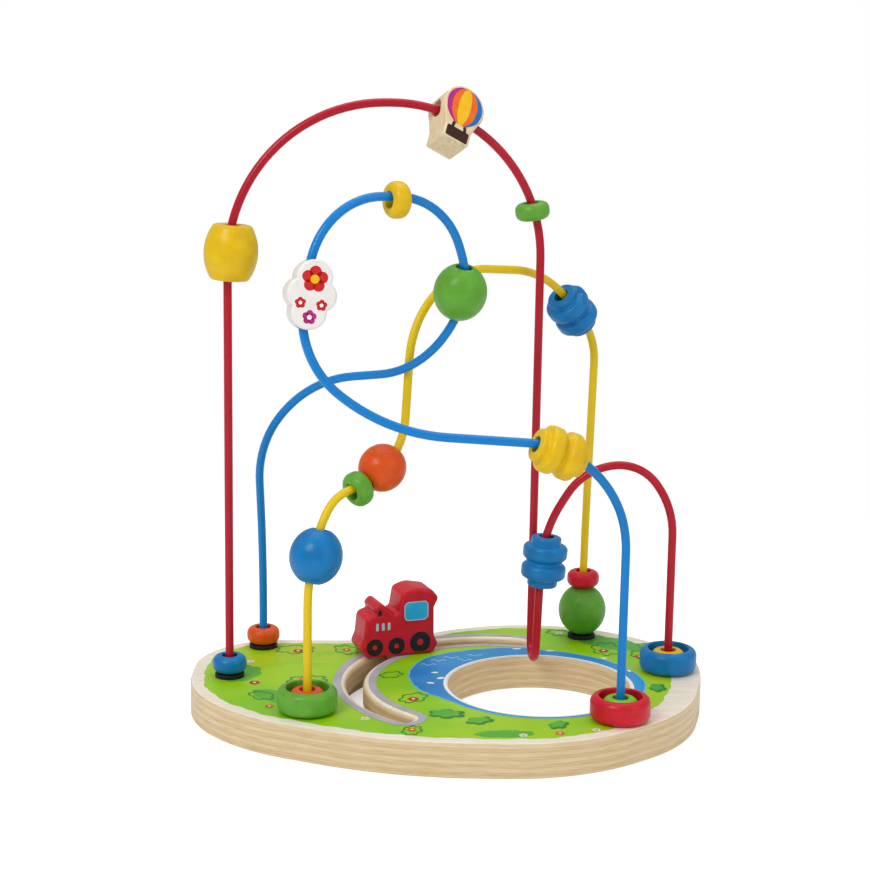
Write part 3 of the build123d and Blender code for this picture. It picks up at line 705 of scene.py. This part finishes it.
# the print on the train's two sides, in mm from the foot of its front end; a wheel has its centre,
# radius and hub, and the window its centre, size and corner radius
train = {
    "peg": (-32.7471, 48.1691), "floor": 20.4, "heading": 21.0, "pegAt": 24.5, "half": 10.5,
    "wheels": [((8.3, 6.8), 5.3, 1.5), ((22.1, 6.6), 5.3, 1.5), ((37.3, 7.6), 6.6, 2.0)],
    "rimOuter": 0.62, "rimInner": 0.56, "rimCount": 40, "hubCount": 32,
    "film": 0.04, "pinhole": 0.05, "discRings": 7, "discCount": 48, "castFrom": 5.0, "castReach": 12.0,
    "window": ((34.6, 27.4), (14.2, 10.6), 2.4), "frame": 0.6,
    "slits": [(9.8, 19.3), (13.5, 19.3), (17.2, 19.3)], "slit": (1.7, 4.6), "slitCorner": 0.4,
    "lamp": (11.3, 28.3), "lampHalf": 1.3, "lampFoot": 1.9, "lampShoulder": 0.3, "lampTip": 2.1,
    "layers": {"lines": 1, "window": 2, "wheels": 3},
}
turnTrain = Matrix.Rotation(math.radians(train["heading"]), 4, "Z")
standUp = Matrix.Rotation(math.radians(90), 4, "X")
trainBase = Matrix.Translation((train["peg"][0] * mm, train["peg"][1] * mm, train["floor"] * mm)) @ turnTrain
halfTurn = Matrix.Rotation(math.pi, 4, "Z")
toNear = Matrix.Translation((-train["pegAt"] * mm, 0, train["half"] * mm))
toFar = Matrix.Translation((train["pegAt"] * mm, 0, train["half"] * mm))
trainSides = {
    "near": (trainBase @ standUp @ toNear, "train", "red_lacquer"),
    "far": (trainBase @ halfTurn @ standUp @ toFar, "train", "red_lacquer"),
}
trainSkin = BVHTree.FromObject(finished["train_body"], bpy.context.evaluated_depsgraph_get())


def wheelDisc(name, centre, radius, host):
    # a thin disc that follows the rounded edge of the train, with a pinhole at its centre
    place = host[0]
    outward = Vector((0, 0, 1))
    turned = place.to_3x3() @ outward
    intoPlace = place.inverted()
    work = bmesh.new()
    sheets = []
    for lift in (train["film"], 0.0):
        sheet = []
        for ring in range(train["discRings"] + 1):
            r = train["pinhole"] + (radius - train["pinhole"]) * ring / train["discRings"]
            row = []
            for x, y in circleLoop(centre, r, train["discCount"]):
                flat = place @ Vector((x * mm, y * mm, 0))
                start = flat + turned * train["castFrom"] * mm
                hit = trainSkin.ray_cast(start, -turned, train["castReach"] * mm)[0]
                row.append(work.verts.new((intoPlace @ (hit or flat)) + outward * lift * mm))
            sheet.append(row)
        sheets.append(sheet)
    for sheet, upwards in zip(sheets, (True, False)):
        for lower, upper in zip(sheet, sheet[1:]):
            for i in range(train["discCount"]):
                quad = [lower[i - 1], upper[i - 1], upper[i], lower[i]]
                work.faces.new(quad if upwards else quad[::-1])
    top, bottom = sheets
    for edge in (0, -1):
        for i in range(train["discCount"]):
            work.faces.new([top[edge][i - 1], top[edge][i], bottom[edge][i], bottom[edge][i - 1]])
    mesh = bpy.data.meshes.new(name)
    work.to_mesh(mesh)
    work.free()
    return keepMesh(name, mesh, "black", host)


def onTrain(side, name, loops, layer, colour):
    # the far side is the near side's mirror image
    facing = 1 if side == "near" else -1
    loops = [[(facing * u, v) for u, v in loop] for loop in loops]
    return printed(f"train_{side}_{name}", loops, layer, colour, trainSides[side])


for side, host in trainSides.items():
    lines, glass, wheels = (train["layers"][part] for part in ("lines", "window", "wheels"))
    for i, (centre, radius, hub) in enumerate(train["wheels"]):
        at = (centre[0] if side == "near" else -centre[0], centre[1])
        wheelDisc(f"train_{side}_wheel_{i + 1}", at, radius, host)
        shares = (train["rimOuter"], train["rimInner"])
        rimLoops = [circleLoop(centre, radius * share, train["rimCount"]) for share in shares]
        onTrain(side, f"ring_{i + 1}", rimLoops, wheels, "brown")
        onTrain(side, f"hub_{i + 1}", [circleLoop(centre, hub, train["hubCount"])], wheels, "red")
    centre, size, corner = train["window"]
    frameSize = [length + 2 * train["frame"] for length in size]
    onTrain(side, "window_frame", [boxLoop(centre, frameSize, corner + train["frame"])], lines, "pale")
    onTrain(side, "window", [boxLoop(centre, size, corner)], glass, "cyan")
    for i, at in enumerate(train["slits"]):
        onTrain(side, f"slit_{i + 1}", [boxLoop(at, train["slit"], train["slitCorner"])], lines, "pale")
    (u, v), half = train["lamp"], train["lampHalf"]
    foot, shoulder = v - train["lampFoot"], v + train["lampShoulder"]
    lampLoop = [
        (u - half, foot), (u + half, foot), (u + half, shoulder),
        (u, v + train["lampTip"]), (u - half, shoulder),
    ]
    onTrain(side, "lamp", [lampLoop], lines, "black")
print("train print done")

# the balloon block's print, in mm about the middle of its face; a gore's two sides are shares of
# the balloon's half width, and neck and roundFrom are shares of its radius
balloon = {
    "origin": (-1.7676, 26.0777, 342.1238),
    "up": (0.22, 0.6061, 0.7644), "out": (0.5097, -0.7395, 0.4397), "half": 9.5,
    "body": "balloon_block", "slot": "maple",
    "middle": 3.4, "radius": 11.4, "foot": -9.6, "neck": 0.30, "roundFrom": 0.35, "rows": 30,
    "gores": [
        (-1.0, -0.7, "magenta"), (-0.7, -0.34, "orange"), (-0.34, 0.34, "yellow"),
        (0.34, 0.7, "orange"), (0.7, 1.0, "blue"),
    ],
    "basket": ((0.0, -15.9), (14.2, 7.0), 1.0), "struts": (-4.0, 4.0), "strutHalf": 0.95,
    "strutTop": -9.2, "strutFoot": -12.8, "strutLean": 0.5,
}
# the white block's print: places and scale of one large flower, two small ones and a bud
blossom = {
    "origin": (-75.7198, -94.1865, 257.0603),
    "up": (0.9638, 0.1928, -0.1842), "out": (0.218, -0.9674, 0.1285), "half": 9.5,
    "body": "white_blossom_block", "slot": "white_lacquer",
    "prints": [
        ("flower", [(-8.0, 0.0)], "red", "yellow", 2.1),
        ("buds", [(4.6, 5.6), (5.0, -5.4)], "red", "white", 0.9),
        ("bud", [(11.6, 0.4)], "magenta", "white", 1.15),
    ],
}


def bothFaces(block):
    # the planes of a block's front and back, with the right, up and outward ways as columns
    up, out = Vector(block["up"]), Vector(block["out"])
    faces = {}
    for side, outward in (("front", out), ("back", -out)):
        place = Matrix((up.cross(outward), up, outward)).transposed().to_4x4()
        place.translation = (Vector(block["origin"]) + outward * block["half"]) * mm
        faces[side] = (place, block["body"], block["slot"])
    return faces


def balloonRow(t):
    # height and half width of the balloon, from its foot at 0 to its top at 1
    radius, foot = balloon["radius"], balloon["foot"]
    y = foot + t * (balloon["middle"] + radius - foot)
    fromMiddle, join = y - balloon["middle"], -balloon["roundFrom"] * radius
    if fromMiddle >= join:
        return y, math.sqrt(max(radius ** 2 - fromMiddle ** 2, 0))
    u = (y - foot) / (balloon["middle"] + join - foot)
    widest = math.sqrt(1 - balloon["roundFrom"] ** 2)
    return y, radius * (balloon["neck"] + (widest - balloon["neck"]) * math.sin(u * math.pi / 2))


balloonRows = [balloonRow(k / balloon["rows"]) for k in range(balloon["rows"] + 1)]
for side, host in bothFaces(balloon).items():
    for i, (low, high, colour) in enumerate(balloon["gores"]):
        loop = [(w * low, y) for y, w in balloonRows] + [(w * high, y) for y, w in reversed(balloonRows)]
        printed(f"balloon_{side}_gore_{i + 1}", [loop], 1, colour, host)
    printed(f"balloon_{side}_basket", [boxLoop(*balloon["basket"])], 1, "brown", host)
    for i, x in enumerate(balloon["struts"]):
        half, lean = balloon["strutHalf"], math.copysign(balloon["strutLean"], x)
        strut = [
            (x - half - lean, balloon["strutTop"]), (x + half - lean, balloon["strutTop"]),
            (x + half, balloon["strutFoot"]), (x - half, balloon["strutFoot"]),
        ]
        printed(f"balloon_{side}_strut_{i + 1}", [strut], 1, "brown", host)
for side, host in bothFaces(blossom).items():
    for name, places, petalColour, heartColour, scale in blossom["prints"]:
        flowers(f"blossom_{side}_{name}", places, petalColour, heartColour, 1, scale, host)
print("block prints done")

# the floor, in metres: it keeps a soft shadow near the toy and fades to plain white further out
stage = {
    "half": 6.0, "squares": 8, "fadeFrom": 0.28, "fadeTo": 0.62, "lift": 0.42, "daylight": 0.44,
    "colour": "#FDFDFD", "surface": {"Roughness": 0.9, "Specular IOR Level": 0.1},
}


def stageMaterial(name):
    made, tree, sockets, place = newMaterial(name, stage["surface"])
    sockets["Base Color"].default_value = linear(stage["colour"])
    far = addNode(tree, "ShaderNodeVectorMath", {"operation": "LENGTH"}, {0: place})
    fade = addNode(tree, "ShaderNodeMapRange", None, {
        "Value": far.outputs["Value"], "From Min": stage["fadeFrom"], "From Max": stage["fadeTo"],
    })
    seen = addNode(tree, "ShaderNodeLightPath").outputs["Is Camera Ray"]
    lift = addNode(tree, "ShaderNodeMath", {"operation": "MULTIPLY"}, {0: seen, 1: stage["lift"]})
    glow = addNode(tree, "ShaderNodeEmission", None, {"Color": (1, 1, 1, 1), "Strength": lift.outputs[0]})
    shader = tree.nodes["Principled BSDF"]
    lit = addNode(tree, "ShaderNodeAddShader", None, {0: shader.outputs[0], 1: glow.outputs[0]})
    white = addNode(tree, "ShaderNodeEmission", None, {"Color": (1, 1, 1, 1), "Strength": 1.0})
    away = addNode(tree, "ShaderNodeMath", {"operation": "MULTIPLY"}, {0: seen, 1: fade.outputs[0]})
    addNode(tree, "ShaderNodeMixShader", None, {
        0: away.outputs[0], 1: lit.outputs[0], 2: white.outputs[0],
    }, into=tree.nodes["Material Output"].inputs["Surface"])
    return made


def stageFloor():
    work = bmesh.new()
    bmesh.ops.create_grid(work, x_segments=stage["squares"], y_segments=stage["squares"], size=stage["half"])
    mesh = bpy.data.meshes.new("studio_floor")
    work.to_mesh(mesh)
    work.free()
    mesh.materials.append(stageMaterial("white studio floor"))
    floor = bpy.data.objects.new("studio_floor", mesh)
    bpy.context.scene.collection.objects.link(floor)


stageFloor()
world = bpy.data.worlds.new("studio")
bpy.context.scene.world = world
world.use_nodes = True
sky = world.node_tree
background = sky.nodes["Background"]
background.inputs["Color"].default_value = (1, 1, 1, 1)
seen = addNode(sky, "ShaderNodeLightPath").outputs["Is Camera Ray"]
addNode(sky, "ShaderNodeMapRange", None, {
    "Value": seen, "To Min": stage["daylight"], "To Max": 1.0,
}, into=background.inputs["Strength"])

lamps = {
    "key": {"at": (-0.9, -1.2, 1.5), "size": 0.9, "power": 16.0},
    "fill": {"at": (1.3, -0.9, 0.9), "size": 1.2, "power": 4.0},
    "top": {"at": (0.1, 0.3, 1.7), "size": 1.4, "power": 9.0},
}
lampTarget = Vector((0, 0, 0.15))  # every lamp looks at the middle of the toy
for name, lamp in lamps.items():
    light = bpy.data.lights.new(name, "AREA")
    light.size = lamp["size"]
    light.energy = lamp["power"]
    holder = bpy.data.objects.new(name, light)
    holder.location = lamp["at"]
    holder.rotation_mode = "QUATERNION"
    holder.rotation_quaternion = (lampTarget - Vector(lamp["at"])).to_track_quat("-Z", "Y")
    bpy.context.scene.collection.objects.link(holder)

# where the camera stands, in metres, how it is turned, in degrees, and its lens and sensor in mm
shot = {
    "at": (-0.0101, -1.1146, 0.3969), "down": 11.763, "roll": 0.905, "lens": 82.76, "sensor": 36.0,
    "near": 0.01, "far": 50.0,
}
camera = bpy.data.objects.new("camera", bpy.data.cameras.new("camera"))
camera.data.lens = shot["lens"]
camera.data.sensor_width = shot["sensor"]
camera.data.clip_start = shot["near"]
camera.data.clip_end = shot["far"]
down, roll = math.radians(shot["down"]), math.radians(shot["roll"])
ahead = Vector((0, math.cos(down), -math.sin(down)))
level, upward = Vector((1, 0, 0)), Vector((0, math.sin(down), math.cos(down)))
right = level * math.cos(roll) + upward * math.sin(roll)
above = upward * math.cos(roll) - level * math.sin(roll)
camera.matrix_world = Matrix.Translation(shot["at"]) @ Matrix((right, above, -ahead)).transposed().to_4x4()
bpy.context.scene.collection.objects.link(camera)
bpy.context.scene.camera = camera
bpy.context.scene.view_settings.view_transform = "Standard"
print("stage done")
